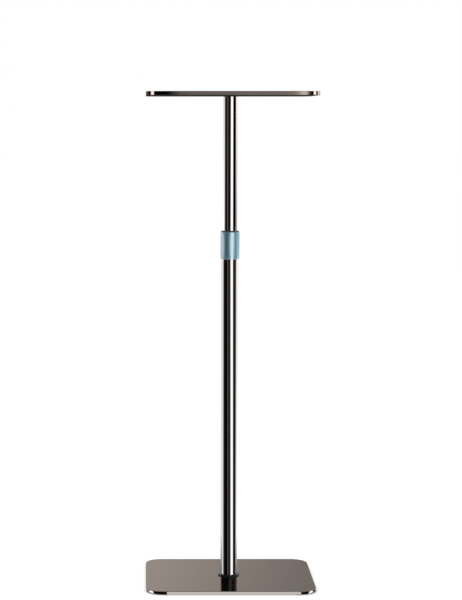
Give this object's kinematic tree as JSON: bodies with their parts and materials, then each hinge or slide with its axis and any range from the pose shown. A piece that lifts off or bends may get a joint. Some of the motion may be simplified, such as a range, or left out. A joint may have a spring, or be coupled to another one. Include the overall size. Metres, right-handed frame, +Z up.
{
  "type": "portable projector stand",
  "caption": "Floor stand with a rounded rectangular base plate, a telescopic round pole held by a twist-lock collar, and a flat rounded tray on top for a projector.",
  "frame": {"origin": "on the floor under the pole's axis, at the centre of the base", "axes": "+Z up along the pole, +X to the stand's right seen from the front, -Y the front"},
  "size_m": [0.3, 0.25, 0.877],
  "materials": {
    "plated_steel_plate": "black nickel plated steel plate, polished to a soft mirror",
    "plated_tube": "bright nickel plated steel tube, buffed along its length",
    "plated_ring": "black plated turned steel",
    "gunmetal_aluminium": "gunmetal anodised aluminium plate, satin top and polished edge",
    "blue_anodised": "pale blue anodised turned aluminium",
    "black_plastic": "black moulded acetal",
    "pad_rubber": "black rubber, fine moulded grain",
    "screw_steel": "blackened steel"
  },
  "bodies": {
    "base": {"base_plate": "plated_steel_plate", "foot_pad_front_left": "pad_rubber", "foot_pad_front_right": "pad_rubber", "foot_pad_rear_left": "pad_rubber", "foot_pad_rear_right": "pad_rubber", "base_screw": "screw_steel", "foot_plug": "screw_steel", "pole_ring": "plated_ring", "lower_pole": "plated_tube", "grip_ring": "black_plastic"},
    "collar": {"lock_collar": "blue_anodised", "wiper_ring": "black_plastic"},
    "glide": {"glide_bush": "black_plastic"},
    "mast": {"upper_pole": "plated_tube", "top_plug": "screw_steel", "tray_plate": "gunmetal_aluminium", "tray_screw": "screw_steel"}
  },
  "joints": [
    {"name": "height_slide", "type": "slide", "parent": "base", "child": "glide", "axis": [0, 0, 1], "range_m": [-0.22, 0.265]},
    {"name": "mast_turn", "type": "hinge", "parent": "glide", "child": "mast", "pos_m": [0, 0, 0.3], "axis": [0, 0, 1], "continuous": true},
    {"name": "collar_turn", "type": "hinge", "parent": "base", "child": "collar", "pos_m": [0, 0, 0.6], "axis": [0, 0, 1], "range_deg": [0, 270]}
  ]
}
